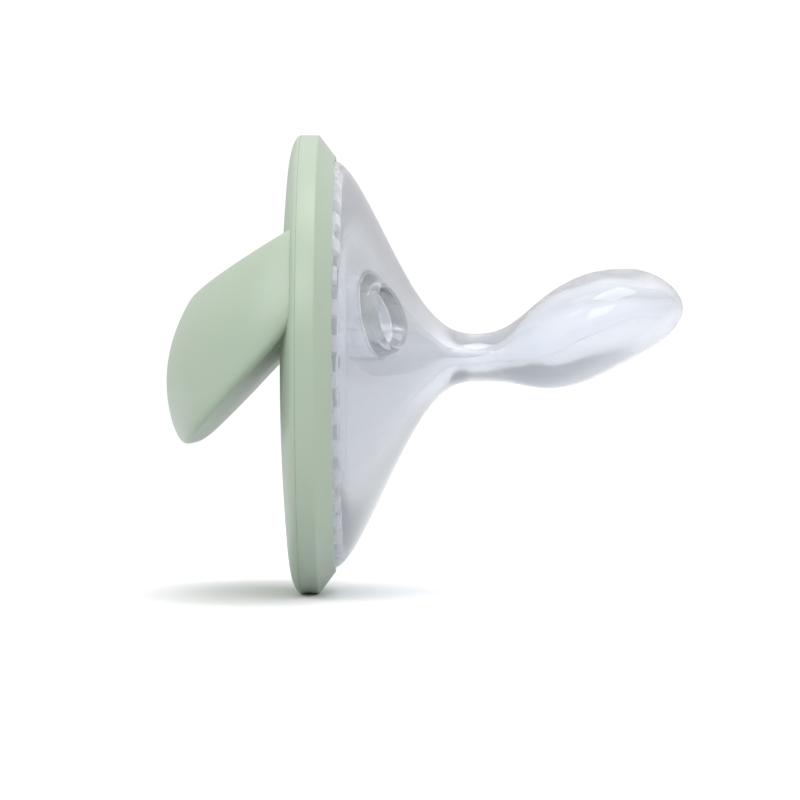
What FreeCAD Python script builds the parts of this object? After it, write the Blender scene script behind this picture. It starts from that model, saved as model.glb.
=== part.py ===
import FreeCAD, Part
import math
import os

# Soother with a scoop-shaped grip: four sage or clear plastic mouldings and one silicone teat.
# +X points along the teat to its tip, +Z is up and Y runs across the shield.
# The origin is the centre of the shield's rear plane, where the silicone leaves the ring.
# Sizes are in millimetres.  A "radius" is half a height: widths are OVAL times as large.

# Shield
SHIELD_WIDTH = 48.0
SHIELD_HEIGHT = 41.0
RING_DEPTH = 3.05           # front seam to rear plane
CHAMFER_DEPTH = 1.4         # along X, at the rear of the band
CHAMFER_INSET = 1.9
DOME_RISE = 1.85            # middle of the front plate before the seam
SHOULDER_RISE = 1.1         # rounded edge of the front plate
SHOULDER_WIDTH = 3.2
CROWN_FULLNESS = 0.75       # share of the crown's rise that is left halfway out to the shoulder
SHOULDER_FULLNESS = 0.7     # share of the shoulder's rise and width left at its middle point
COVER_WALL = 1.4
SPIGOT_WALL = 1.3
BAND_WALL = 1.4
LIP_DEPTH = 0.75            # thickness of the rear lip that traps the silicone
RIM_DEPTH = 0.95            # silicone bead between the support ring's flange and the lip
RIM_HOLD = 0.7              # how far the lip reaches over the bead
FIT = 0.1                   # clearance between mouldings

# Silicone teat
FUNNEL_LENGTH = 12.6
FUNNEL_SHIFT = 0.95         # inner skin lies this far ahead of the outer one
FLARE_START = 1.6           # powers that shape the funnel: at the rim, and into the neck
FLARE_END = 2.7
NECK_HEIGHT = 4.3
NECK_WIDTH = 8.2
NECK_RISE = 0.6             # middle of the neck above the middle of the shield
TEAT_LENGTH = 31.1          # rear plane to tip
BULB_HEIGHT = 9.6
BULB_WIDTH = 16.6
BULB_RISE = 5.05            # tip above the shield's middle
TEAT_WALL = 1.1
RIM_WALL = 0.73             # silicone between the lip and the support ring
TIP_WALL = 1.3

# Vents
VENT_RADIUS = 2.5
VENT_LIP = 0.95             # wall of the sleeve round the vent
VENT_PROUD = 0.45           # the lip stands this far out of the funnel
VENT_SPACING = 25.2
VENT_HEIGHT = 4.0
VENT_RELIEF = 0.2           # the hole in the plate is wider than the sleeve's
VENT_SEAT = 0.5             # seat in the plate for the sleeve, behind the seam

# Support ring
SUPPORT_WALL = 1.0
SUPPORT_REACH = 0.95        # behind the rear plane
FLANGE_WALL = 0.5           # the ring's flange lies between spigot and bead
WINDOW_COUNT = 38
WINDOW_LENGTH = 1.7
WINDOW_DEPTH = 0.7
WINDOW_PLACE = 0.25         # middle of the windows behind the rear plane

# Grip
GRIP_INSET = 0.4            # outer wall inside the shield's edge
GRIP_REACH = 11.8           # bar beyond the seam
GRIP_BULGE = 17.0           # half height of the curve of the bar's face
GRIP_MIDDLE = -1.6          # height where the bar reaches furthest
GRIP_WALL = 1.5
GRIP_TOP = 11.55            # top edge at the seam
GRIP_TOP_SLOPE = 0.62       # fall of the top edge for each mm of reach
GRIP_FLOOR = 3.2            # underside at the seam
GRIP_FLOOR_SLOPE = 1.08
GRIP_ROUND = 1.1            # rounding of the underside
GRIP_HOLLOW_ROUND = 0.4     # the same, inside
GRIP_SQUARE = 3.0           # 2 is an ellipse, more is squarer
ARCH_STEPS = 16             # points on the curve of one arch
TONGUE_HEIGHT = 4.0
TONGUE_WALL = 0.9
TONGUE_LENGTH = 2.9
TONGUE_FLOOR = 0.85         # plate left under the end of the tongue
TONGUE_PLACE = 8.0          # height of the tongues' middle

OVAL = SHIELD_WIDTH / SHIELD_HEIGHT
EDGE = SHIELD_HEIGHT / 2
SEAM = -RING_DEPTH
POCKET = EDGE - BAND_WALL
RIM = POCKET - FIT
LIP = RIM - RIM_HOLD
FUNNEL_RIM = LIP - FIT
FUNNEL_BORE = FUNNEL_RIM - RIM_WALL
BEAD_FRONT = -LIP_DEPTH - RIM_DEPTH
SPIGOT_END = BEAD_FRONT - FLANGE_WALL
X_AXIS = FreeCAD.Vector(1, 0, 0)


def point(x, radius):
    return FreeCAD.Vector(x, 0, radius)


def oval_turn(edges):
    """Turn a closed outline round X and stretch it across the shield into an oval."""
    outline = Part.Face(Part.Wire(edges))
    turned = outline.revolve(FreeCAD.Vector(), X_AXIS, 360)
    stretch = FreeCAD.Matrix()
    stretch.scale(1, OVAL, 1)
    return turned.transformGeometry(stretch)


def polygon(*corners):
    """Edges of a closed outline with straight sides."""
    loop = [point(*corner) for corner in corners]
    return Part.makePolygon(loop + loop[:1]).Edges


def dome_edges():
    """Front face of the plate, from its middle to the seam: a shallow arc, then a rounded shoulder."""
    top = SEAM - DOME_RISE
    shoulder = SEAM - SHOULDER_RISE
    inner = EDGE - SHOULDER_WIDTH
    crown = Part.Arc(point(top, 0), point(shoulder + CROWN_FULLNESS * (top - shoulder), inner / 2),
                     point(shoulder, inner))
    bend = point(SEAM - SHOULDER_FULLNESS * SHOULDER_RISE, EDGE - (1 - SHOULDER_FULLNESS) * SHOULDER_WIDTH)
    corner = Part.Arc(point(shoulder, inner), bend, point(SEAM, EDGE))
    return [crown.toShape(), corner.toShape()]


def dome_block():
    """Everything behind the front plate's face, as one solid."""
    back = point(0, EDGE)
    ends = [Part.makeLine(point(SEAM, EDGE), back), Part.makeLine(back, point(0, 0)),
            Part.makeLine(point(0, 0), point(SEAM - DOME_RISE, 0))]
    return oval_turn(dome_edges() + ends)


def vent_rods(radius, start, end):
    """A pair of rods along X, one on each vent's axis."""
    bases = [FreeCAD.Vector(start, side * VENT_SPACING / 2, VENT_HEIGHT) for side in (-1, 1)]
    return [Part.makeCylinder(radius, end - start, base, X_AXIS) for base in bases]


def tongue(side, gap):
    """A tongue under the grip's foot, turned to follow the oval, or its slot when gap is the clearance."""
    edge = RIM - SPIGOT_WALL / 2
    lean = TONGUE_PLACE / edge
    across = OVAL * edge * math.sqrt(1 - lean ** 2)
    turn = math.degrees(math.atan2(OVAL * lean, math.sqrt(1 - lean ** 2)))
    wall = TONGUE_WALL + 2 * gap
    tall = TONGUE_HEIGHT + 2 * gap
    block = Part.makeBox(TONGUE_LENGTH + gap, wall, tall,
                         FreeCAD.Vector(-TONGUE_LENGTH, -wall / 2, -tall / 2))
    block.rotate(FreeCAD.Vector(), X_AXIS, side * turn)
    block.translate(FreeCAD.Vector(SPIGOT_END - TONGUE_FLOOR, side * across, TONGUE_PLACE))
    return block


def front_cover():
    """Domed plate with a spigot round its back, two vent holes with seats, and two blind slots."""
    bore = RIM - SPIGOT_WALL
    rear = point(SEAM - SHOULDER_RISE + COVER_WALL, bore)
    middle = point(SEAM - DOME_RISE + COVER_WALL, 0)
    plate = oval_turn(dome_edges() + [
        Part.makeLine(point(SEAM, EDGE), point(SEAM, RIM)),
        Part.makeLine(point(SEAM, RIM), point(SPIGOT_END, RIM)),
        Part.makeLine(point(SPIGOT_END, RIM), point(SPIGOT_END, bore)),
        Part.makeLine(point(SPIGOT_END, bore), rear),
        Part.makeLine(rear, middle),
        Part.makeLine(middle, point(SEAM - DOME_RISE, 0)),
    ])
    seats = vent_rods(VENT_RADIUS + VENT_LIP, SEAM - COVER_WALL / 2, SEAM + VENT_SEAT)
    holes = vent_rods(VENT_RADIUS + VENT_RELIEF, SEAM - 2 * DOME_RISE, 0)
    slots = [tongue(side, FIT) for side in (-1, 1)]
    return plate.fuse(seats).cut(holes + slots)


def clamp_ring():
    """Band round the shield, with a chamfered rear lip that traps the silicone bead."""
    return oval_turn(polygon(
        (SEAM, EDGE), (-CHAMFER_DEPTH, EDGE), (0, EDGE - CHAMFER_INSET), (0, LIP),
        (-LIP_DEPTH, LIP), (-LIP_DEPTH, POCKET), (SEAM, POCKET)))


def flare(share):
    """Falls from 1 at the rim to 0 at the neck, straight along the cone and soft into the neck."""
    return (1 - share ** FLARE_START) ** FLARE_END


def section(x, middle, half_height, half_width):
    """Oval across X, from a circle stretched along Y."""
    circle = Part.makeCircle(half_height, FreeCAD.Vector(x, 0, middle), X_AXIS)
    stretch = FreeCAD.Matrix()
    stretch.scale(1, half_width / half_height, 1)
    return Part.Wire(circle.transformGeometry(stretch).Edges)


# Places of the funnel's sections: shares of its length.
FUNNEL = (0.07, 0.15, 0.25, 0.36, 0.48, 0.6, 0.72, 0.86, 1)

# The bulb from neck to tip: shares of its length, its rise, its full height and its full width.
BULB = [(0.06, 0.02, 0.46, 0.49), (0.14, 0.06, 0.52, 0.55), (0.26, 0.20, 0.71, 0.72),
        (0.37, 0.36, 0.92, 0.88), (0.50, 0.57, 1.00, 0.99), (0.65, 0.77, 0.94, 1.00),
        (0.80, 0.92, 0.79, 0.88), (0.91, 0.98, 0.55, 0.64), (0.97, 1.00, 0.31, 0.40),
        (1.00, 1.00, 0.06, 0.08)]


def teat_skin(inside):
    """The teat's outer form as a solid, or the hollow inside it."""
    wall = TEAT_WALL if inside else 0
    shift = FUNNEL_SHIFT if inside else 0
    start = SEAM if inside else BEAD_FRONT
    rim = FUNNEL_BORE if inside else FUNNEL_RIM
    neck_height = NECK_HEIGHT / 2 - wall
    neck_width = NECK_WIDTH / 2 - wall
    sections = [section(x, 0, rim, OVAL * rim) for x in (start, -LIP_DEPTH)]
    for share in FUNNEL[1:] if inside else FUNNEL:
        size = flare(share)
        sections.append(section(FUNNEL_LENGTH * share - shift, NECK_RISE * (1 - size),
                                neck_height + (FUNNEL_RIM - neck_height) * size,
                                neck_width + (OVAL * FUNNEL_RIM - neck_width) * size))
    length = TEAT_LENGTH - FUNNEL_LENGTH - (TIP_WALL if inside else 0)
    for along, rise, height, width in BULB:
        half_height = BULB_HEIGHT / 2 * height
        half_width = BULB_WIDTH / 2 * width
        sections.append(section(FUNNEL_LENGTH + length * along,
                                NECK_RISE + (BULB_RISE - NECK_RISE) * rise,
                                max(half_height - wall, half_height / 2),
                                max(half_width - wall, half_width / 2)))
    return Part.makeLoft(sections, True)


def teat():
    """Rim bead, funnel, two vent sleeves, neck and hollow bulb, moulded as one piece."""
    outside = teat_skin(False)
    inside = teat_skin(True)
    inlet = (FUNNEL_RIM + FUNNEL_BORE) / 2
    bead = oval_turn(polygon((BEAD_FRONT, RIM - FIT), (-LIP_DEPTH, RIM - FIT), (-LIP_DEPTH, inlet),
                             (BEAD_FRONT, inlet)))
    proud = outside.copy()
    proud.translate(FreeCAD.Vector(VENT_PROUD, 0, 0))
    base = oval_turn(polygon((SEAM, 0), (SEAM, EDGE), (VENT_PROUD, EDGE), (VENT_PROUD, 0)))
    lip_form = proud.fuse(base)
    rods = vent_rods(VENT_RADIUS + VENT_LIP, SEAM + VENT_SEAT, FUNNEL_LENGTH)
    body = outside.cut(inside).fuse([bead] + [rod.common(lip_form) for rod in rods])
    return body.cut(vent_rods(VENT_RADIUS, SEAM, TEAT_LENGTH))


def window_angles(radius):
    """Angles that part the oval into equal lengths, found by walking round it in small steps."""
    steps = 3600
    turn = 2 * math.pi / steps
    places = [step * turn for step in range(steps)]
    pace = [radius * turn * math.hypot(OVAL * math.sin(place), math.cos(place)) for place in places]
    pitch = sum(pace) / WINDOW_COUNT
    angles = []
    walked = 0
    for place, stride in zip(places, pace):
        if walked >= pitch * len(angles):
            angles.append(place)
        walked += stride
    return angles


def window(angle, radius):
    """A cutter that stands across the ring's wall at this angle round the oval."""
    reach = 3 * SUPPORT_WALL
    block = Part.makeBox(WINDOW_DEPTH, reach, WINDOW_LENGTH,
                         FreeCAD.Vector(WINDOW_PLACE - WINDOW_DEPTH / 2, -reach / 2, -WINDOW_LENGTH / 2))
    facing = math.degrees(math.atan2(OVAL * math.sin(angle), math.cos(angle)))
    block.rotate(FreeCAD.Vector(), X_AXIS, facing)
    block.translate(FreeCAD.Vector(0, OVAL * radius * math.cos(angle), radius * math.sin(angle)))
    return block


def support_ring():
    """Clear ring inside the silicone rim: a flange in front, and a row of windows round it."""
    flange = RIM - FIT
    outer = FUNNEL_BORE - FIT
    share = (SUPPORT_REACH + FUNNEL_SHIFT) / FUNNEL_LENGTH
    rear = FUNNEL_RIM * flare(share) - FIT
    ring = oval_turn(polygon(
        (SPIGOT_END, flange), (BEAD_FRONT, flange), (BEAD_FRONT, outer), (0, outer),
        (SUPPORT_REACH, rear), (SUPPORT_REACH, rear - SUPPORT_WALL),
        (0, outer - SUPPORT_WALL), (SPIGOT_END, outer - SUPPORT_WALL)))
    middle = outer - SUPPORT_WALL / 2
    windows = [window(angle, middle) for angle in window_angles(middle)]
    sleeve_room = vent_rods(VENT_RADIUS + VENT_LIP + FIT, SEAM, SUPPORT_REACH)
    return ring.cut(windows + sleeve_room)


def arch(height, wall):
    """Closed outline of the grip at one height: a squared half oval that stands on the shield."""
    edge = EDGE - GRIP_INSET - wall
    half_width = OVAL * math.sqrt(edge ** 2 - height ** 2)
    reach = GRIP_REACH * (1 - ((height - GRIP_MIDDLE) / GRIP_BULGE) ** 2) - wall
    curve = []
    for step in range(ARCH_STEPS + 1):
        angle = math.pi * step / ARCH_STEPS
        across = math.copysign(abs(math.cos(angle)) ** (2 / GRIP_SQUARE), math.cos(angle)) * half_width
        out = abs(math.sin(angle)) ** (2 / GRIP_SQUARE) * reach
        curve.append(FreeCAD.Vector(SEAM - out, across, height))
    spline = Part.BSplineCurve()
    spline.interpolate(curve)
    left = FreeCAD.Vector(0, -half_width, height)
    right = FreeCAD.Vector(0, half_width, height)
    return Part.Wire([Part.makeLine(right, curve[0]), spline.toShape(), Part.makeLine(curve[-1], left),
                      Part.makeLine(left, right)])


def grip_block(wall, floor_lift, top_lift):
    """The grip's outer form, or the hollow in it: arches joined, cut by its top and its underside."""
    tall = EDGE - GRIP_INSET - GRIP_WALL
    heights = [tall * share for share in (-0.6, -0.4, -0.2, 0, 0.2, 0.4, 0.6, 0.75)]
    arches = Part.makeLoft([arch(height, wall) for height in heights], True)
    out = SEAM - 1.5 * GRIP_REACH
    top = GRIP_TOP + top_lift
    floor = GRIP_FLOOR + floor_lift
    corners = [(0, top - GRIP_TOP_SLOPE * SEAM), (out, top + GRIP_TOP_SLOPE * (out - SEAM)),
               (out, floor + GRIP_FLOOR_SLOPE * (out - SEAM)), (0, floor - GRIP_FLOOR_SLOPE * SEAM)]
    side = Part.Face(Part.Wire(polygon(*corners)))
    side.translate(FreeCAD.Vector(0, -SHIELD_WIDTH, 0))
    return arches.common(side.extrude(FreeCAD.Vector(0, 2 * SHIELD_WIDTH, 0)))


def rounded_under(block, radius):
    """Round the edge between the underside and the bar's face."""
    under = min(block.Faces, key=lambda face: face.CenterOfMass.z)
    edges = [edge for edge in under.Edges if edge.CenterOfMass.x < -FIT]
    return block.makeFillet(radius, edges)


def handle():
    """Scoop-shaped grip: a bar that bows out from the plate, with a sloping floor, open at its top."""
    outside = rounded_under(grip_block(0, 0, 0), GRIP_ROUND)
    lift = GRIP_WALL * math.hypot(1, GRIP_FLOOR_SLOPE)
    inside = rounded_under(grip_block(GRIP_WALL, lift, GRIP_TOP), GRIP_HOLLOW_ROUND)
    shell = outside.cut(inside)
    reliefs = vent_rods(VENT_RADIUS + VENT_RELIEF, SEAM - GRIP_REACH / 2, 0)
    shell = shell.cut([dome_block()] + reliefs)
    return shell.fuse([tongue(side, 0) for side in (-1, 1)])


def main():
    os.makedirs("parts", exist_ok=True)
    pieces = {"front_cover": front_cover, "clamp_ring": clamp_ring, "handle": handle,
              "support_ring": support_ring, "teat": teat}
    for name, make in pieces.items():
        shape = make()
        print(name, len(shape.Solids), "solid", shape.isValid(), round(shape.Volume, 1), "mm3")
        shape.exportStep("parts/" + name + ".step")


main()
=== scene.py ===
import math

import bmesh
import bpy
import numpy as np
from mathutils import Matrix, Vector


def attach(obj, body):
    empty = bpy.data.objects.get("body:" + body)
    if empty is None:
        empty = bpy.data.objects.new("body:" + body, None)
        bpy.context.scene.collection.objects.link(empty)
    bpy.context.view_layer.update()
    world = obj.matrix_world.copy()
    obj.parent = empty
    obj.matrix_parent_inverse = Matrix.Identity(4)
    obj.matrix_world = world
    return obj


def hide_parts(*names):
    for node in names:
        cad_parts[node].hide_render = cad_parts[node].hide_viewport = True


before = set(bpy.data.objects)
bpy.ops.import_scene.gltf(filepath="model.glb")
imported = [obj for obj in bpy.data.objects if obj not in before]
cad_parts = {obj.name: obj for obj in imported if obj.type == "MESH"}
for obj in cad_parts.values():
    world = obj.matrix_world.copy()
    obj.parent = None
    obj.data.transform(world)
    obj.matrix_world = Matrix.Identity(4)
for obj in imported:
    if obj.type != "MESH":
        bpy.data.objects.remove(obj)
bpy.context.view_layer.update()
MM = 0.001

# ---------------------------------------------------------------------------------------------
# Front cover.  The sage dome at the front of the shield, injection moulded in polypropylene.  A
# spigot round its back presses the silicone rim into the clamp ring, and two round vents go
# through it, each with a flat seat behind for the silicone sleeve.
# ---------------------------------------------------------------------------------------------
OVAL = 48.0 / 41.0
EDGE = 20.5
SEAM = -3.05
DOME_RISE = 1.85
SHOULDER_RISE = 1.1
SHOULDER_WIDTH = 3.2
SHOULDER_POWER = 2.6
COVER_WALL = 1.4
SPIGOT = 19.0
SPIGOT_BORE = 17.7
SPIGOT_END = -2.2
VENT_SIDE = 12.6
VENT_HEIGHT = 4.0
COVER_VENT = 2.7
COVER_VENT_ROUND = 0.35
SEAT_RADIUS = 3.45
SEAT_FACE = -2.55

# The cover's grids have lines all round, and rows crowded into a block of cells about the vents.
TURNS = 256
FIRST_RADIUS = 0.4
BLOCK_HALF = 4.2
BLOCK_MARGIN = 0.2
COVER_BLOCK_COLUMNS = 15
SHOULDER_START = 0.06
WELD = 0.002
SLIVER = 0.0001


def oval_points(x, radius, angle):
    """Points of a form turned round X and stretched across: (x, OVAL r cos a, r sin a)."""
    x, radius, angle = np.broadcast_arrays(x, radius, angle)
    return np.stack([x, OVAL * radius * np.cos(angle), radius * np.sin(angle)], -1)


def grid_quads(rows, columns, wrap):
    """Corner numbers of the quads of a grid: each point with the next in its row and in its column."""
    last = columns if wrap else columns - 1
    row, column = np.meshgrid(np.arange(rows - 1), np.arange(last), indexing="ij")
    beside = (column + 1) % columns
    return np.stack([row * columns + column, row * columns + beside,
                     (row + 1) * columns + beside, (row + 1) * columns + column], -1)


def block_loop(top, bottom, left, right):
    """Grid places round the edge of a block of cells, once round and in order."""
    across = [(top, c) for c in range(left, right)] + [(r, right) for r in range(top, bottom)]
    back = [(bottom, c) for c in range(right, left, -1)] + [(r, left) for r in range(bottom, top, -1)]
    return np.array(across + back)


def sheet(points, wrap=True, blocks=()):
    """A grid of points as a patch of quads, with whole blocks of cells left out.  A block may run
    over the grid's seam, so its columns are counted round."""
    rows, columns = points.shape[:2]
    quads = grid_quads(rows, columns, wrap)
    keep = np.ones(quads.shape[:2], bool)
    for top, bottom, left, right in blocks:
        keep[top:bottom, np.arange(left, right) % columns] = False
    return points.reshape(-1, 3), quads[keep]


def tunnel(loops):
    """Closed loops with equal numbers of points, joined one to the next by quads."""
    points = np.stack(loops)
    return points.reshape(-1, 3), grid_quads(points.shape[0], points.shape[1], True).reshape(-1, 4)


def cap(loop, middle):
    """Triangles from a closed loop to one middle point."""
    count = len(loop)
    index = np.arange(count)
    fan = np.stack([index, (index + 1) % count, np.full(count, count)], -1)
    return np.vstack([loop, middle]), fan


def make_piece(name, patches, sharp=40):
    """One closed mesh from patches that meet: their points are joined and welded, and the faces
    turned outwards.  Edges sharper than an angle in degrees stay crisp."""
    points = np.concatenate([points for points, _ in patches]) * MM
    faces = []
    first = 0
    for corners, polygons in patches:
        faces += (polygons + first).tolist()
        first += len(corners)
    mesh = bpy.data.meshes.new(name)
    mesh.from_pydata(points.tolist(), [], faces)
    work = bmesh.new()
    work.from_mesh(mesh)
    bmesh.ops.remove_doubles(work, verts=work.verts, dist=WELD * MM)
    bmesh.ops.dissolve_degenerate(work, edges=work.edges, dist=SLIVER * MM)
    bmesh.ops.recalc_face_normals(work, faces=work.faces)
    work.to_mesh(mesh)
    work.free()
    mesh.shade_smooth()
    mesh.set_sharp_from_angle(angle=math.radians(sharp))
    piece = bpy.data.objects.new(name, mesh)
    bpy.context.scene.collection.objects.link(piece)
    return piece


def circle_towards(loop, side, radius, x):
    """Circle round a vent's axis, each point in the direction of one point of a loop."""
    axis = np.array([side, VENT_HEIGHT])
    off = loop[:, 1:] - axis
    off = off / np.linalg.norm(off, axis=1, keepdims=True)
    return np.column_stack([np.broadcast_to(x, len(loop)), axis + radius * off])


def shares(loop, target, count):
    """Loops that step evenly from one loop to another, without the last."""
    return [loop + (target - loop) * step / count for step in range(count)]


def dome(radius):
    """x of the dome's face: a shallow bowl that grows with the radius squared, then a shoulder that
    bends back to the seam as 1 - sqrt(1 - out ** power) and starts with the bowl's own slope."""
    inner = EDGE - SHOULDER_WIDTH
    bowl_rise = DOME_RISE - SHOULDER_RISE
    bowl = SEAM - DOME_RISE + bowl_rise * (radius / inner) ** 2
    out = np.clip((radius - inner) / SHOULDER_WIDTH, 0, 1)
    slope = 2 * bowl_rise / inner * SHOULDER_WIDTH
    bend = (SHOULDER_RISE - slope) * (1 - np.sqrt(1 - out ** SHOULDER_POWER))
    return np.where(radius < inner, bowl, SEAM - SHOULDER_RISE + slope * out + bend)


def cover_back(radius):
    """x of the plate's inner face, a shallow cone."""
    middle = SEAM - DOME_RISE + COVER_WALL
    return middle + (DOME_RISE - SHOULDER_RISE) * radius / SPIGOT_BORE


def radius_of(points):
    """The oval radius that points lie on: their distance from X once the width is shrunk back."""
    return np.hypot(points[:, 1] / OVAL, points[:, 2])


def oval_grid(x_of, radii):
    """A face that is turned round X, as a grid with one row for each radius."""
    radii = radii[:, None]
    return oval_points(x_of(radii), radii, turn[None, :])


def columns_round(middle_angle, half):
    """First and last grid lines of the columns on either side of an angle."""
    column = round(middle_angle / (2 * np.pi) * TURNS)
    return column - half, column + half


def cover_vent(front, back, block, side):
    """Loops from the dome's block, over the vent's rounded mouth and down its bore, round its seat
    and out to the block behind."""
    loop = block_loop(*block)
    start = front[loop[:, 0], loop[:, 1]]
    end = back[loop[:, 0], loop[:, 1]]
    mouth = circle_towards(start, side, COVER_VENT + COVER_VENT_ROUND, 0)
    loops = []
    for ring in shares(start, mouth, 8) + [mouth]:
        loops.append(np.column_stack([dome(radius_of(ring)), ring[:, 1:]]))
    face = loops[-1][:, 0]
    for angle in np.radians([22, 45, 67, 90]):
        ring = circle_towards(start, side, COVER_VENT + COVER_VENT_ROUND * (1 - np.sin(angle)), 0)
        ring[:, 0] = face + COVER_VENT_ROUND * (1 - np.cos(angle))
        loops.append(ring)
    loops.append(circle_towards(start, side, COVER_VENT, SEAT_FACE))
    loops.append(circle_towards(start, side, SEAT_RADIUS, SEAT_FACE))
    foot = circle_towards(start, side, SEAT_RADIUS, 0)
    for ring in shares(foot, end, 6) + [end]:
        loops.append(np.column_stack([cover_back(radius_of(ring)), ring[:, 1:]]))
    return tunnel(loops)


turn = np.linspace(0, 2 * np.pi, TURNS, endpoint=False)
reach = math.hypot(VENT_SIDE / OVAL, VENT_HEIGHT)
lean = math.atan2(VENT_HEIGHT, VENT_SIDE / OVAL)
vents = ((lean, VENT_SIDE), (np.pi - lean, -VENT_SIDE))
inner_radii = np.linspace(FIRST_RADIUS, reach - BLOCK_HALF - BLOCK_MARGIN, 20)
block_radii = np.linspace(reach - BLOCK_HALF, reach + BLOCK_HALF, 25)
outer_front = np.linspace(reach + BLOCK_HALF + 1.5 * BLOCK_MARGIN, EDGE - SHOULDER_WIDTH, 6)
quarter = np.linspace(SHOULDER_START, 1, 22) * np.pi / 2
shoulder_radii = EDGE - SHOULDER_WIDTH * (1 - np.sin(quarter))
outer_back = np.linspace(reach + BLOCK_HALF + BLOCK_MARGIN, SPIGOT_BORE, 5)
front = oval_grid(dome, np.concatenate([inner_radii, block_radii, outer_front, shoulder_radii]))
back = oval_grid(cover_back, np.concatenate([inner_radii, block_radii, outer_back]))
block_top = len(inner_radii)
block_bottom = block_top + len(block_radii) - 1
blocks = [(block_top, block_bottom, *columns_round(angle, COVER_BLOCK_COLUMNS)) for angle, side in vents]
spigot = np.array([(SEAM, EDGE), (SEAM, SPIGOT), (SPIGOT_END, SPIGOT), (SPIGOT_END, SPIGOT_BORE),
                   (cover_back(SPIGOT_BORE), SPIGOT_BORE)])
patches = [sheet(front, blocks=blocks), sheet(back, blocks=blocks),
           sheet(oval_points(spigot[:, :1], spigot[:, 1:], turn[None, :])),
           cap(front[0], (SEAM - DOME_RISE, 0, 0)), cap(back[0], (SEAM - DOME_RISE + COVER_WALL, 0, 0))]
patches += [cover_vent(front, back, block, side) for block, (angle, side) in zip(blocks, vents)]
cover = make_piece("front_cover_moulding", patches)

SAGE_DEEP = "#A5B4A1"
SAGE_PALE = "#AAB9A6"
SATIN_SMOOTH = 0.33
SATIN_ROUGH = 0.4
FLOW_SIZE = 9
GRAIN_SIZE = 0.25
GRAIN_DEPTH = 0.02
GRAIN_STRENGTH = 0.04
POLYPROPYLENE_IOR = 1.49
GLOW_SHARE = 0.12
GLOW_DEPTH = 0.6


def linear(code):
    """sRGB hex colour to linear RGBA."""
    values = [int(code[index:index + 2], 16) / 255 for index in (1, 3, 5)]
    values = [v / 12.92 if v <= 0.04045 else ((v + 0.055) / 1.055) ** 2.4 for v in values]
    return (*values, 1)


def node(tree, kind, links=(), **settings):
    """One node with its settings; links pairs an input with another node's output or a value."""
    made = tree.nodes.new(kind)
    for key, value in settings.items():
        setattr(made, key, value)
    for key, value in links:
        if isinstance(value, bpy.types.NodeSocket):
            tree.links.new(value, made.inputs[key])
        else:
            made.inputs[key].default_value = value
    return made


def new_material(name):
    """A material with an empty node tree."""
    material = bpy.data.materials.new(name)
    material.use_nodes = True
    material.node_tree.nodes.clear()
    return material


def moulded_polypropylene():
    """Polypropylene with a sage masterbatch, moulded against a fine satin tool: an even colour with a
    very faint flow mottle, a soft gloss, and a spark-eroded grain too fine to see except as sheen."""
    material = new_material("moulded polypropylene, sage")
    tree = material.node_tree
    place = node(tree, "ShaderNodeTexCoord").outputs["Object"]
    flow = node(tree, "ShaderNodeTexNoise", [
        ("Vector", place), ("Scale", 1 / (FLOW_SIZE * MM)), ("Detail", 2.0)])
    tint = node(tree, "ShaderNodeMix", [
        (0, flow.outputs["Fac"]), (6, linear(SAGE_DEEP)), (7, linear(SAGE_PALE))], data_type="RGBA")
    grain = node(tree, "ShaderNodeTexNoise", [
        ("Vector", place), ("Scale", 1 / (GRAIN_SIZE * MM)), ("Detail", 1.0)])
    bump = node(tree, "ShaderNodeBump", [
        ("Height", grain.outputs["Fac"]), ("Strength", GRAIN_STRENGTH), ("Distance", GRAIN_DEPTH * MM)])
    rough = node(tree, "ShaderNodeMapRange", [
        (0, flow.outputs["Fac"]), (3, SATIN_SMOOTH), (4, SATIN_ROUGH)])
    plastic = node(tree, "ShaderNodeBsdfPrincipled", [
        ("Base Color", tint.outputs[2]), ("Roughness", rough.outputs[0]), ("Normal", bump.outputs[0]),
        ("IOR", POLYPROPYLENE_IOR),
        ("Subsurface Weight", GLOW_SHARE), ("Subsurface Scale", GLOW_DEPTH * MM)])
    node(tree, "ShaderNodeOutputMaterial", [("Surface", plastic.outputs[0])])
    return material


def dress(piece, material, slot, *nodes):
    """Gives a piece its material, puts it on the body and lets it stand for its CAD nodes."""
    piece.data.materials.clear()
    piece.data.materials.append(material)
    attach(piece, "root")
    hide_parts(*nodes)


sage = moulded_polypropylene()
dress(cover, sage, "sage_plastic", "front_cover")

# ---------------------------------------------------------------------------------------------
# Handle.  The scoop-shaped grip that a finger hooks over: a bulging wall, open at its top and closed
# by a sloping floor.  It is moulded on its own in the same sage polypropylene and fixed to the cover
# by two hidden tongues.
# ---------------------------------------------------------------------------------------------
GRIP_EDGE = 20.1
GRIP_REACH = 11.8
GRIP_BULGE = 17.0
GRIP_MIDDLE = -1.6
GRIP_WALL = 1.5
GRIP_SQUARE = 3.0
GRIP_TOP = 11.55
GRIP_TOP_SLOPE = 0.62
GRIP_FLOOR = 3.2
GRIP_FLOOR_SLOPE = 1.08
FLOOR_WALL = 2.21
UNDERSIDE_ROUND = 1.9
UNDERSIDE_LIFT = 1.25 * UNDERSIDE_ROUND
RIM_ROUND = 0.4
HOLLOW_ROUND = 0.9
RELIEF_END = -8.95
ROD_TURNS = 48

# The arch's lines crowd towards its two squarish corners, where it bends most.
ARCH_LINES = 181
CROWDING = 0.62
GRIP_SHARP = 50


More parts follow.
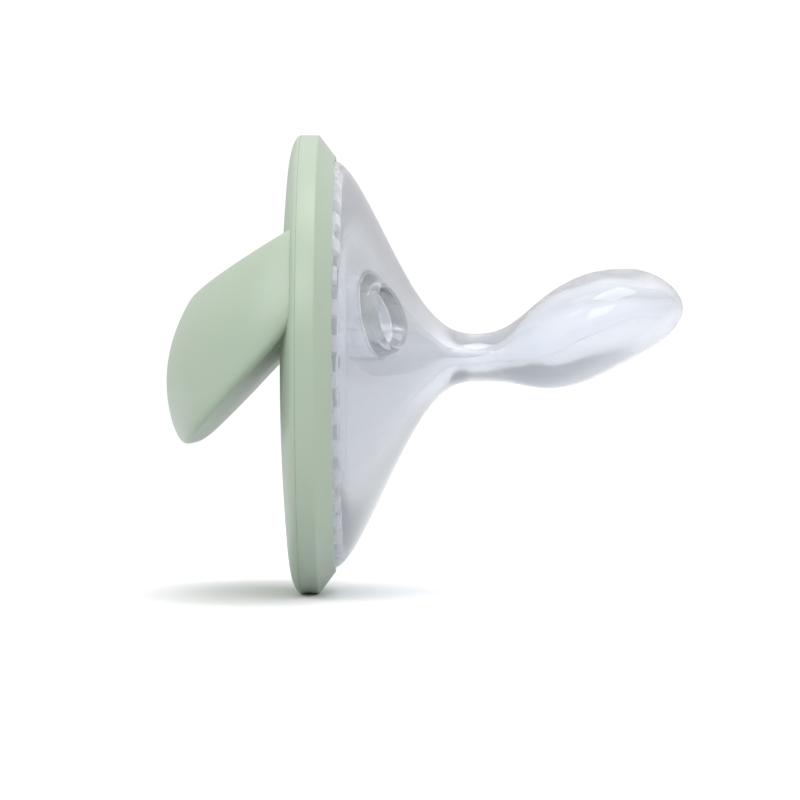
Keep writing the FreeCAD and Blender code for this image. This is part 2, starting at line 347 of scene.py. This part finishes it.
def arch_point(height, turn_over, wall):
    """Point of the grip's arch at a height: |cos a|^(2/n) of the half width across and |sin a|^(2/n) of the
    reach outwards, where the reach is a parabola over the height and the width follows the oval."""
    edge = GRIP_EDGE - wall
    across = OVAL * np.sqrt(edge ** 2 - height ** 2)
    reach_out = GRIP_REACH * (1 - ((height - GRIP_MIDDLE) / GRIP_BULGE) ** 2) - wall
    cosine = np.cos(turn_over)
    wide = np.sign(cosine) * np.abs(cosine) ** (2 / GRIP_SQUARE) * across
    out = np.clip(np.sin(turn_over), 0, 1) ** (2 / GRIP_SQUARE) * reach_out
    return np.stack([SEAM - out, wide, height + 0 * out], -1)


def arch_end(level, slope, turn_over, wall):
    """Height where each line of the arch meets a slanting plane that falls by slope for each mm
    outwards.  Each step goes half way to the plane's height at the point reached so far."""
    height = level + 0 * turn_over
    for _ in range(60):
        out = SEAM - arch_point(height, turn_over, wall)[:, 0]
        height = (height + level - slope * out) / 2
    return height


def rounded(before, corner, after, size, count):
    """A corner between two directions taken off by a parabola that starts size mm away on either side:
    (1 - s)^2 start + 2 s (1 - s) corner + s^2 end."""
    towards = before - corner
    away = after - corner
    start = corner + towards * size / np.maximum(np.linalg.norm(towards, axis=-1, keepdims=True), 1e-6)
    end = corner + away * size / np.maximum(np.linalg.norm(away, axis=-1, keepdims=True), 1e-6)
    share = np.linspace(0, 1, count)[:, None, None]
    return (1 - share) ** 2 * start + 2 * share * (1 - share) * corner + share ** 2 * end


def between(start, end, count):
    """Rows that step evenly from one row to another, without either end."""
    share = np.linspace(0, 1, count + 2)[1:-1, None, None]
    return start + (end - start) * share


def wall_lines(bottom, top, turn_over, wall, count):
    """Rows up the wall between two heights, each point on the arch of its own height."""
    share = np.linspace(0, 1, count)[:, None]
    height = bottom + (top - bottom) * share
    return arch_point(height, turn_over + 0 * height, wall)


def relief_rod(side):
    """A rod along a vent's axis, from the grip's hollow to the shield's rear plane."""
    angle = np.linspace(0, 2 * np.pi, ROD_TURNS, endpoint=False)
    hoops = [np.column_stack([x + 0 * angle, side * VENT_SIDE + COVER_VENT * np.cos(angle),
                              VENT_HEIGHT + COVER_VENT * np.sin(angle)]) for x in (RELIEF_END, 0)]
    ends = [(hoop, np.arange(len(hoop))[None, :]) for hoop in hoops]
    return make_piece("vent_relief_cutter", [tunnel(hoops)] + ends)


def cut_reliefs(piece):
    """Takes the two vents' rods out of a piece, so that air reaches them past its foot."""
    rods = [relief_rod(side) for side in (-1, 1)]
    for rod in rods:
        relief = piece.modifiers.new("vent relief", "BOOLEAN")
        relief.object = rod
        relief.operation = "DIFFERENCE"
        relief.solver = "EXACT"
    evaluated = piece.evaluated_get(bpy.context.evaluated_depsgraph_get())
    cut = bpy.data.meshes.new_from_object(evaluated)
    piece.modifiers.clear()
    piece.data = cut
    cut.set_sharp_from_angle(angle=math.radians(GRIP_SHARP))
    for rod in rods:
        bpy.data.objects.remove(rod)


sweep = np.linspace(0, 1, ARCH_LINES)
turn_over = np.pi * (sweep - CROWDING * np.sin(4 * np.pi * sweep) / (4 * np.pi))
floor_height = arch_end(GRIP_FLOOR, GRIP_FLOOR_SLOPE, turn_over, 0)
top_height = arch_end(GRIP_TOP, GRIP_TOP_SLOPE, turn_over, 0)
inner_floor_height = arch_end(GRIP_FLOOR + FLOOR_WALL, GRIP_FLOOR_SLOPE, turn_over, GRIP_WALL)
inner_top_height = arch_end(GRIP_TOP, GRIP_TOP_SLOPE, turn_over, GRIP_WALL)
floor_edge = arch_point(floor_height, turn_over, 0)
top_edge = arch_point(top_height, turn_over, 0)
inner_floor_edge = arch_point(inner_floor_height, turn_over, GRIP_WALL)
inner_top_edge = arch_point(inner_top_height, turn_over, GRIP_WALL)
under_middle = np.array([SEAM, 0, GRIP_FLOOR]) + 0 * floor_edge
hollow_middle = np.array([SEAM, 0, GRIP_FLOOR + FLOOR_WALL]) + 0 * floor_edge

# One row after another: out under the floor, up the outer wall, over the rim, down inside, and back
# along the hollow's floor.
wall_foot = arch_point(floor_height + UNDERSIDE_LIFT, turn_over, 0)
under_corner = rounded(under_middle, floor_edge, wall_foot, UNDERSIDE_ROUND, 9)
outer_wall = wall_lines(floor_height + UNDERSIDE_LIFT, top_height - 2 * RIM_ROUND, turn_over, 0, 26)
inner_wall = wall_lines(inner_top_height - 2 * RIM_ROUND, inner_floor_height + 2 * HOLLOW_ROUND,
                        turn_over, GRIP_WALL, 22)
rim_outer = rounded(outer_wall[-1], top_edge, inner_top_edge, RIM_ROUND, 5)
rim_inner = rounded(top_edge, inner_top_edge, inner_wall[0], RIM_ROUND, 5)
hollow_corner = rounded(inner_wall[-1], inner_floor_edge, hollow_middle, HOLLOW_ROUND, 6)
shell = np.concatenate([
    under_middle[None], between(under_middle, under_corner[0], 14), under_corner, outer_wall,
    rim_outer, between(rim_outer[-1], rim_inner[0], 2), rim_inner, inner_wall, hollow_corner,
    between(hollow_corner[-1], hollow_middle, 14), hollow_middle[None]])
ends = [(shell[:, column], np.arange(len(shell))[None, :]) for column in (0, -1)]
grip = make_piece("scoop_handle", [sheet(shell, wrap=False)] + ends, GRIP_SHARP)
cut_reliefs(grip)
dress(grip, sage, "sage_plastic", "handle")

# ---------------------------------------------------------------------------------------------
# Support ring.  The stiff ring inside the silicone rim that keeps the funnel's mouth open, moulded
# in natural, uncoloured polypropylene with a row of small windows round it.  Its flange is held
# between the silicone bead and the end of the cover's spigot.
# ---------------------------------------------------------------------------------------------
GAP = 0.02
FLANGE = 18.9
FLANGE_BACK = -1.7
RING_RADIUS = 17.37
RING_END = 0.95
RING_END_RADIUS = 15.8
RING_WALL = 1.0
WINDOWS = 38
WINDOW_LENGTH = 1.75
WINDOW_DEPTH = 0.78
WINDOW_PLACE = 0.22
WINDOW_POWER = 4
CELL_ACROSS = 8
CELL_ALONG = 6
CELL_FRONT = -0.45
CELL_BACK = 0.82

# Each loop of a cell: how far it has shrunk from the cell's edge to the window's edge, and how far
# through the wall it lies.  The steps at 0.97 and 0.02 take the sharpness off the window's edges.
CELL_LOOPS = ((0, 0), (0.5, 0), (0.88, 0), (0.97, 0.02), (1, 0.1), (1, 0.5), (1, 0.9), (0.97, 0.98),
              (0.88, 1), (0.5, 1), (0, 1))


def ring_radius(x):
    """Outer radius of the ring: level to the shield's rear plane, then a cone under the silicone."""
    return RING_RADIUS - (RING_RADIUS - RING_END_RADIUS) * np.clip(x / RING_END, 0, 1)


fine = np.linspace(0, 2 * np.pi, 7201)
walked = np.concatenate([[0], np.cumsum(np.hypot(OVAL * np.diff(np.cos(fine)), np.diff(np.sin(fine))))])


def ring_angle(share):
    """Angle at a share of the way round the oval, by its length, read from steps walked round it."""
    whole = np.floor(share)
    return 2 * np.pi * whole + np.interp((share - whole) * walked[-1], walked, fine)


def window_cell(number):
    """Loops from a cell's edge to its window's edge, through the wall, and out again inside: a loop
    (p, q) of a square shrinks to a rounded one, |p|^n + |q|^n = 1."""
    across = np.linspace(-1, 1, CELL_ACROSS + 1)
    along = np.linspace(-1, 1, CELL_ALONG + 1)
    p = np.concatenate([across[:-1], np.ones(CELL_ALONG), across[:0:-1], -np.ones(CELL_ALONG)])
    q = np.concatenate([-np.ones(CELL_ACROSS), along[:-1], np.ones(CELL_ACROSS), along[:0:-1]])
    size = (np.abs(p) ** WINDOW_POWER + np.abs(q) ** WINDOW_POWER) ** (1 / WINDOW_POWER)
    pitch = walked[-1] * RING_RADIUS / WINDOWS
    depth_of_cell = CELL_BACK - CELL_FRONT
    middle = (CELL_FRONT + CELL_BACK) / 2
    hole_p = p / size * WINDOW_LENGTH / pitch
    hole_q = q / size * WINDOW_DEPTH / depth_of_cell + (WINDOW_PLACE - middle) / (depth_of_cell / 2)
    loops = []
    for share, depth in CELL_LOOPS:
        x = middle + (q + (hole_q - q) * share) * depth_of_cell / 2
        angle = ring_angle((number + (p + (hole_p - p) * share) / 2) / WINDOWS)
        loops.append(oval_points(x, ring_radius(x) - RING_WALL * depth, angle))
    return tunnel(loops)


def ring_strip(*corners):
    """The ring's plain stretches: a profile (x, r) carried round it, with the cells' own spacing."""
    corners = np.array(corners)
    steps = np.arange(WINDOWS * CELL_ACROSS) / (WINDOWS * CELL_ACROSS) - 0.5 / WINDOWS
    return sheet(oval_points(corners[:, :1], corners[:, 1:], ring_angle(steps)[None, :]))


ring_bore = RING_RADIUS - RING_WALL
flange_front = SPIGOT_END + GAP
cell_back_radius = float(ring_radius(CELL_BACK))
ring_patches = [window_cell(number) for number in range(WINDOWS)]
ring_patches.append(ring_strip(
    (CELL_FRONT, RING_RADIUS), (FLANGE_BACK, RING_RADIUS), (FLANGE_BACK, FLANGE - GAP),
    (flange_front, FLANGE - GAP), (flange_front, ring_bore), (CELL_FRONT, ring_bore)))
ring_patches.append(ring_strip(
    (CELL_BACK, cell_back_radius), (RING_END, RING_END_RADIUS),
    (RING_END, RING_END_RADIUS - RING_WALL), (CELL_BACK, cell_back_radius - RING_WALL)))
support = make_piece("support_ring_moulding", ring_patches)

NATURAL_TINT = "#FBFBFC"
NATURAL_ROUGH = 0.2
NATURAL_CLEAR = 0.22
SHADOW_TINT = "#F4F6F8"


def clear_material(name, ior, tint, rough, clear):
    """A clear plastic or rubber: it refracts and mirrors, and where a shadow would fall it lets the
    lamps' light through to what is behind."""
    material = new_material(name)
    tree = material.node_tree
    glass = node(tree, "ShaderNodeBsdfPrincipled", [
        ("Base Color", linear(tint)), ("Roughness", rough), ("IOR", ior), ("Transmission Weight", clear)])
    through = node(tree, "ShaderNodeBsdfTransparent", [("Color", linear(SHADOW_TINT))])
    shadow = node(tree, "ShaderNodeLightPath").outputs["Is Shadow Ray"]
    mixed = node(tree, "ShaderNodeMixShader", [(0, shadow), (1, glass.outputs[0]), (2, through.outputs[0])])
    node(tree, "ShaderNodeOutputMaterial", [("Surface", mixed.outputs[0])])
    return material


# Natural polypropylene is milky: it scatters most of the light, which gives the eye a whitish ring
# with soft edges behind the clear rubber.
natural_polypropylene = clear_material("natural polypropylene, translucent", POLYPROPYLENE_IOR,
                                       NATURAL_TINT, NATURAL_ROUGH, NATURAL_CLEAR)
dress(support, natural_polypropylene, "clear_plastic", "support_ring")

# ---------------------------------------------------------------------------------------------
# Teat.  One hollow moulding in clear liquid silicone rubber: a bead round the rim, a wide funnel with
# a sleeve for each vent, a thin neck and a flattened bulb.  The bead is trapped between the clamp ring
# and the support ring's flange, and the sleeves press on the cover's seats.
# ---------------------------------------------------------------------------------------------
FUNNEL_RIM = 18.2
FUNNEL_LENGTH = 12.6
FUNNEL_SHIFT = 0.95
FLARE_START = 1.6
FLARE_END = 2.7
BULB_LENGTH = 18.5
TIP_WALL = 1.35
BEAD = 18.9
BEAD_FRONT = -1.7
BEAD_BACK = -0.75
BEAD_CHAMFER = 0.1
FUNNEL_BORE = 17.47
BORE_END = -0.6
VENT_RADIUS = 2.5
MOUTH_ROUND = 0.3
LIP_RADIUS = 2.75
LIP_WIDTH = 0.26
LIP_HEIGHT = 0.45
SLEEVE_RADIUS = 3.4
SLEEVE_FILLET = 0.5

# The bulb from neck to tip, outside and inside, at shares of a quarter turn that ends at the tip.
BULB_KNOTS = (0, 0.09, 0.2, 0.28, 0.34, 0.45, 0.58, 0.72, 0.86, 1)
BULB_MIDDLE = (0.62, 0.88, 1.84, 2.62, 3.17, 4.02, 4.69, 4.94, 5.04, 5.07)
BULB_HALF_HEIGHT = (2.15, 2.48, 3.95, 4.63, 4.80, 4.51, 3.79, 2.66, 1.34, 0)
BULB_HALF_WIDTH = (4.10, 4.60, 6.70, 7.75, 8.20, 8.25, 7.50, 5.60, 2.95, 0)
BORE_MIDDLE = (0.62, 0.90, 1.95, 2.80, 3.37, 4.22, 4.87, 5.12, 5.20, 5.22)
BORE_HALF_HEIGHT = (1.0, 1.25, 2.65, 3.30, 3.48, 3.22, 2.60, 1.75, 0.88, 0)
BORE_HALF_WIDTH = (2.9, 3.30, 5.40, 6.45, 6.90, 6.95, 6.20, 4.50, 2.35, 0)

# Rows of the two skins, and the block of cells round each vent.
FUNNEL_ROWS = 76
BULB_ROWS = 92
INNER_FUNNEL_ROWS = 70
INNER_BULB_ROWS = 80
INNER_START = 0.093
TEAT_BLOCK_HALF = 4.6
TEAT_BLOCK_COLUMNS = 17


def spline(knots, values, at):
    """Smooth curve through the knots, flat at its start: cubic pieces whose slopes solve the usual
    three-term equations, so that slope and curvature run on from piece to piece."""
    knots = np.array(knots, float)
    values = np.array(values, float)
    step = np.diff(knots)
    rise = np.diff(values) / step
    count = len(knots)
    system = np.zeros((count, count))
    known = np.zeros(count)
    system[0, 0] = 1
    for index in range(1, count - 1):
        before = 1 / step[index - 1]
        after = 1 / step[index]
        system[index, index - 1:index + 2] = before, 2 * (before + after), after
        known[index] = 3 * (rise[index - 1] * before + rise[index] * after)
    system[-1, -2:] = 1, 2
    known[-1] = 3 * rise[-1]
    slope = np.linalg.solve(system, known)
    piece = np.clip(np.searchsorted(knots, at, side="right") - 1, 0, count - 2)
    width = step[piece]
    share = (at - knots[piece]) / width
    level = ((1 + 2 * share) * (1 - share) ** 2 * values[piece]
             + share ** 2 * (3 - 2 * share) * values[piece + 1])
    tilt = share * (1 - share) ** 2 * slope[piece] - share ** 2 * (1 - share) * slope[piece + 1]
    return level + width * tilt


def flare(share):
    """How much of the rim's size is left at a share of the funnel: (1 - share^a)^b."""
    return (1 - np.clip(share, 0, 1) ** FLARE_START) ** FLARE_END


def teat_form(u, shift, bulb_length, middles, half_heights, half_widths):
    """x, middle, half height and half width of a skin; u is 0 at the rim, 1 at the neck, 2 at the tip.
    The funnel shrinks from the rim to the neck by the flare, and the bulb follows its splines."""
    share = np.clip(u, 0, 1)
    size = flare(share)
    angle = np.clip(u - 1, 0, 1)
    x = (FUNNEL_LENGTH * share - shift * np.cos(angle * np.pi / 2)
         + bulb_length * np.sin(angle * np.pi / 2))
    past = u > 1
    middle = np.where(past, spline(BULB_KNOTS, middles, angle), middles[0] * (1 - size))
    high = np.where(past, spline(BULB_KNOTS, half_heights, angle),
                    half_heights[0] + (FUNNEL_RIM - half_heights[0]) * size)
    wide = np.where(past, spline(BULB_KNOTS, half_widths, angle),
                    half_widths[0] + (OVAL * FUNNEL_RIM - half_widths[0]) * size)
    return x, middle, high, wide


def outside(u):
    """The outer skin's form."""
    return teat_form(u, 0, BULB_LENGTH, BULB_MIDDLE, BULB_HALF_HEIGHT, BULB_HALF_WIDTH)


def inside(u):
    """The hollow's form: the same curves, moved forward along the funnel by its wall."""
    return teat_form(u, FUNNEL_SHIFT, BULB_LENGTH - TIP_WALL, BORE_MIDDLE, BORE_HALF_HEIGHT, BORE_HALF_WIDTH)


def skin(form, u):
    """Points of a skin: (x, wide cos a, middle + high sin a) round each station."""
    x, middle, high, wide = [value[:, None] for value in form(u)]
    return np.stack([x + 0 * turn, wide * np.cos(turn), middle + high * np.sin(turn)], -1)


def skin_x(form, points):
    """x at which a skin's funnel passes through each (y, z), found by halving the stretch of u."""
    rim_side = np.zeros(len(points))
    neck_side = np.ones(len(points))
    for _ in range(40):
        u = (rim_side + neck_side) / 2
        x, middle, high, wide = form(u)
        out = (points[:, 1] / wide) ** 2 + ((points[:, 2] - middle) / high) ** 2 > 1
        neck_side = np.where(out, u, neck_side)
        rim_side = np.where(out, rim_side, u)
    return form((rim_side + neck_side) / 2)[0]


def nearest_row(form, stations, size):
    """The row whose half height is nearest to a size."""
    return int(np.argmin(np.abs(form(stations)[2] - size)))


def lip(distance):
    """A round bead about the vent: a cosine hump on its outer side that is level over the mouth."""
    out = np.clip((distance - LIP_RADIUS) / (2 * LIP_WIDTH), 0, 1)
    return LIP_HEIGHT * 0.5 * (1 + np.cos(np.pi * out))


def vent_mouth(start, side):
    """Loops over the funnel and its lip to the vent's mouth, and round the mouth's edge.  They crowd
    towards the mouth, where the lip is."""
    mouth = circle_towards(start, side, VENT_RADIUS + MOUTH_ROUND, 0)
    loops = []
    for share in np.linspace(0, 1, 27) ** 0.75:
        ring = start + (mouth - start) * share
        distance = np.hypot(ring[:, 1] - side, ring[:, 2] - VENT_HEIGHT)
        loops.append(np.column_stack([skin_x(outside, ring) + lip(distance), ring[:, 1:]]))
    for angle in np.radians([15, 30, 45, 60, 75, 90]):
        ring = circle_towards(start, side, VENT_RADIUS + MOUTH_ROUND * (1 - np.sin(angle)), 0)
        ring[:, 0] = skin_x(outside, ring) + LIP_HEIGHT - MOUTH_ROUND * (1 - np.cos(angle))
        loops.append(ring)
    return loops


def vent_sleeve(start, end, side):
    """Loops from the sleeve's end up its outside, round the fillet at its foot and over the hollow's
    skin to the block's edge."""
    sleeve_end = circle_towards(start, side, SLEEVE_RADIUS, SEAT_FACE + GAP)
    foot = circle_towards(start, side, SLEEVE_RADIUS, 0)
    foot[:, 0] = skin_x(inside, foot) - SLEEVE_FILLET
    loops = shares(sleeve_end, foot, 8) + [foot]
    for angle in np.radians([22, 45, 67, 90]):
        ring = circle_towards(start, side, SLEEVE_RADIUS + SLEEVE_FILLET * (1 - np.cos(angle)), 0)
        ring[:, 0] = skin_x(inside, ring) - SLEEVE_FILLET * (1 - np.sin(angle))
        loops.append(ring)
    for ring in shares(loops[-1], end, 12)[1:]:
        loops.append(np.column_stack([skin_x(inside, ring), ring[:, 1:]]))
    return loops + [end]


def teat_vent(outer_block, inner_block, side):
    """A vent from the outer skin's block through its bore, back over its sleeve to the inner block."""
    outer_loop = block_loop(*outer_block)
    inner_loop = block_loop(*inner_block)
    start = outer_skin[outer_loop[:, 0], outer_loop[:, 1]]
    end = inner_skin[inner_loop[:, 0], inner_loop[:, 1]]
    mouth = vent_mouth(start, side)
    bottom = circle_towards(start, side, VENT_RADIUS, SEAT_FACE + GAP)
    bore = shares(mouth[-1], bottom, 10)[1:] + [bottom]
    return tunnel(mouth + bore + vent_sleeve(start, end, side))


def stations_from(start, funnel_rows, bulb_rows):
    """Values of u for a skin's rows: even along the funnel, then even along the bulb."""
    return np.concatenate([np.linspace(start, 1, funnel_rows), 1 + np.linspace(0, 1, bulb_rows)[1:-1]])


outer_stations = stations_from(0, FUNNEL_ROWS, BULB_ROWS)
inner_stations = stations_from(INNER_START, INNER_FUNNEL_ROWS, INNER_BULB_ROWS)
outer_skin = skin(outside, outer_stations)
inner_skin = skin(inside, inner_stations)
outer_top = nearest_row(outside, outer_stations, reach + TEAT_BLOCK_HALF)
outer_bottom = nearest_row(outside, outer_stations, reach - TEAT_BLOCK_HALF)
inner_top = nearest_row(inside, inner_stations, reach + TEAT_BLOCK_HALF)
inner_bottom = inner_top + outer_bottom - outer_top
columns = [columns_round(angle, TEAT_BLOCK_COLUMNS) for angle, side in vents]
outer_blocks = [(outer_top, outer_bottom, left, right) for left, right in columns]
inner_blocks = [(inner_top, inner_bottom, left, right) for left, right in columns]
rim = np.array([
    (0, FUNNEL_RIM), (BEAD_BACK + BEAD_CHAMFER, FUNNEL_RIM), (BEAD_BACK, FUNNEL_RIM + BEAD_CHAMFER),
    (BEAD_BACK, BEAD - BEAD_CHAMFER), (BEAD_BACK - BEAD_CHAMFER, BEAD), (BEAD_FRONT + BEAD_CHAMFER, BEAD),
    (BEAD_FRONT, BEAD - BEAD_CHAMFER), (BEAD_FRONT, FUNNEL_BORE + BEAD_CHAMFER),
    (BEAD_FRONT + BEAD_CHAMFER, FUNNEL_BORE), (BORE_END, FUNNEL_BORE)])
rim_grid = oval_points(rim[:, :1], rim[:, 1:], turn[None, :])
bridge = np.stack(shares(rim_grid[-1], inner_skin[0], 4) + [inner_skin[0]])
outer_tip = (FUNNEL_LENGTH + BULB_LENGTH, 0, BULB_MIDDLE[-1])
inner_tip = (FUNNEL_LENGTH + BULB_LENGTH - TIP_WALL, 0, BORE_MIDDLE[-1])
patches = [sheet(outer_skin, blocks=outer_blocks), sheet(inner_skin, blocks=inner_blocks),
           sheet(rim_grid), sheet(bridge), cap(outer_skin[-1], outer_tip), cap(inner_skin[-1], inner_tip)]
patches += [teat_vent(outer, inner, side)
            for outer, inner, (angle, side) in zip(outer_blocks, inner_blocks, vents)]
teat = make_piece("silicone_teat", patches)

# Liquid silicone is clear as water with a glossy skin, and its low index bends what is behind it
# only softly.
SILICONE_IOR = 1.41
SILICONE_TINT = "#ECEEF2"
SILICONE_ROUGH = 0.04
SILICONE_CLEAR = 0.82
silicone = clear_material("liquid silicone rubber, clear", SILICONE_IOR,
                          SILICONE_TINT, SILICONE_ROUGH, SILICONE_CLEAR)
dress(teat, silicone, "clear_silicone", "teat")

# ---------------------------------------------------------------------------------------------
# Clamp ring.  The band round the shield, moulded in the same sage polypropylene.  It snaps over the
# cover's spigot from behind, and its chamfered rear lip traps the silicone bead.
# ---------------------------------------------------------------------------------------------
BAND_BORE = 19.1
BAND_BACK = -1.55
FRONT_ROUND = 0.05
BACK_ROUND = 0.2
LIP_END_X = -0.1
LIP_END_RADIUS = 18.72
LIP_CORNER = (-0.08, 18.6)
LIP_CORNER_ROUND = 0.08
LIP_BORE = 18.3
LIP_BORE_ROUND = 0.1


def arc(middle, radius, start, end, count):
    """Profile points (x, r) on an arc round middle, from one angle to another in degrees."""
    angle = np.radians(np.linspace(start, end, count))
    return np.stack([middle[0] + radius * np.cos(angle), middle[1] + radius * np.sin(angle)], -1)


lip_bore_middle = (-LIP_BORE_ROUND, LIP_BORE + LIP_BORE_ROUND)
band = np.vstack([
    [(SEAM, BAND_BORE), (SEAM, EDGE - FRONT_ROUND)],
    arc((SEAM + FRONT_ROUND, EDGE - FRONT_ROUND), FRONT_ROUND, 180, 90, 4)[1:],
    arc((BAND_BACK, EDGE - BACK_ROUND), BACK_ROUND, 90, 37, 6),
    [(LIP_END_X, LIP_END_RADIUS)],
    arc(LIP_CORNER, LIP_CORNER_ROUND, 50, 0, 4),
    [(0, LIP_BORE + LIP_BORE_ROUND)],
    arc(lip_bore_middle, LIP_BORE_ROUND, 0, -90, 5),
    [(BEAD_BACK, LIP_BORE), (BEAD_BACK, BAND_BORE), (SEAM, BAND_BORE)]])
clamp = make_piece("clamp_ring_moulding", [sheet(oval_points(band[:, :1], band[:, 1:], turn[None, :]))])
dress(clamp, sage, "sage_plastic", "clamp_ring")

# ---------------------------------------------------------------------------------------------
# Table, light and camera.  A white paper sweep under the shield's lowest edge, two softboxes above
# and in front, pale walls with a brighter ceiling, and a long lens that looks straight across.
# ---------------------------------------------------------------------------------------------
FLOOR = -20.52 * MM
FLOOR_HALF = 3.0
PAPER_SEEN = "#FBFBFB"
PAPER_SHADED = "#E2E3E5"


def pale_paper():
    """White paper sweep, a little greyer to mirrors and clear pieces than to the eye, so that they show
    against it."""
    material = new_material("pale paper")
    tree = material.node_tree
    to_eye = node(tree, "ShaderNodeLightPath").outputs["Is Camera Ray"]
    seen = node(tree, "ShaderNodeBsdfDiffuse", [("Color", linear(PAPER_SEEN))])
    shaded = node(tree, "ShaderNodeBsdfDiffuse", [("Color", linear(PAPER_SHADED))])
    paper = node(tree, "ShaderNodeMixShader", [(0, to_eye), (1, shaded.outputs[0]), (2, seen.outputs[0])])
    node(tree, "ShaderNodeOutputMaterial", [("Surface", paper.outputs[0])])
    return material


floor_mesh = bpy.data.meshes.new("floor")
floor_corners = [(-FLOOR_HALF, -FLOOR_HALF, FLOOR), (FLOOR_HALF, -FLOOR_HALF, FLOOR),
                 (FLOOR_HALF, FLOOR_HALF, FLOOR), (-FLOOR_HALF, FLOOR_HALF, FLOOR)]
floor_mesh.from_pydata(floor_corners, [], [(0, 1, 2, 3)])
floor = bpy.data.objects.new("floor", floor_mesh)
bpy.context.scene.collection.objects.link(floor)
floor_mesh.materials.append(pale_paper())


def softbox(name, place, size, power):
    """A square softbox that faces the middle of the shield; size in metres, power in watts."""
    light = bpy.data.lights.new(name, "AREA")
    light.shape = "RECTANGLE"
    light.size = size
    light.size_y = size
    light.energy = power
    made = bpy.data.objects.new(name, light)
    bpy.context.scene.collection.objects.link(made)
    made.location = place
    made.rotation_euler = (-Vector(place)).to_track_quat("-Z", "Y").to_euler()


softbox("top softbox", place=(0.02, -0.02, 0.5), size=0.25, power=0.6)
softbox("front softbox", place=(-0.1, -0.45, 0.4), size=0.3, power=0.8)

NEAR_WALL = 0.6
FAR_WALL = 0.74
CEILING = 1.2
BACKDROP = 1.05
world = bpy.data.worlds.new("studio")
bpy.context.scene.world = world
world.use_nodes = True
tree = world.node_tree
tree.nodes.clear()
towards = node(tree, "ShaderNodeSeparateXYZ", [(0, node(tree, "ShaderNodeTexCoord").outputs["Generated"])])
walls = node(tree, "ShaderNodeMapRange", [
    (0, towards.outputs["Y"]), (1, -0.9), (2, 0.2), (3, NEAR_WALL), (4, FAR_WALL)])
ceiling = node(tree, "ShaderNodeMapRange", [
    (0, towards.outputs["Z"]), (1, 0.15), (2, 0.8), (3, walls.outputs[0]), (4, CEILING)],
    interpolation_type="SMOOTHSTEP")
room = node(tree, "ShaderNodeBackground", [("Color", linear("#FDFDFE")), ("Strength", ceiling.outputs[0])])
backdrop = node(tree, "ShaderNodeBackground", [("Color", (1, 1, 1, 1)), ("Strength", BACKDROP)])
to_eye = node(tree, "ShaderNodeLightPath").outputs["Is Camera Ray"]
sky = node(tree, "ShaderNodeMixShader", [(0, to_eye), (1, room.outputs[0]), (2, backdrop.outputs[0])])
node(tree, "ShaderNodeOutputWorld", [("Surface", sky.outputs[0])])

CAMERA_DISTANCE = 320 * MM
FIELD = 71.8 * MM
CAMERA_X = 5.742 * MM
CAMERA_Z = -3.185 * MM
SENSOR = 36
lens = bpy.data.cameras.new("camera")
lens.sensor_width = SENSOR
lens.lens = SENSOR * CAMERA_DISTANCE / FIELD
lens.clip_start = 0.01
camera = bpy.data.objects.new("camera", lens)
bpy.context.scene.collection.objects.link(camera)
camera.location = (CAMERA_X, -CAMERA_DISTANCE, CAMERA_Z)
camera.rotation_euler = (math.radians(90), 0, 0)
bpy.context.scene.camera = camera
bpy.context.scene.view_settings.view_transform = "Standard"
bpy.context.scene.cycles.transmission_bounces = 20
bpy.context.scene.cycles.max_bounces = 24
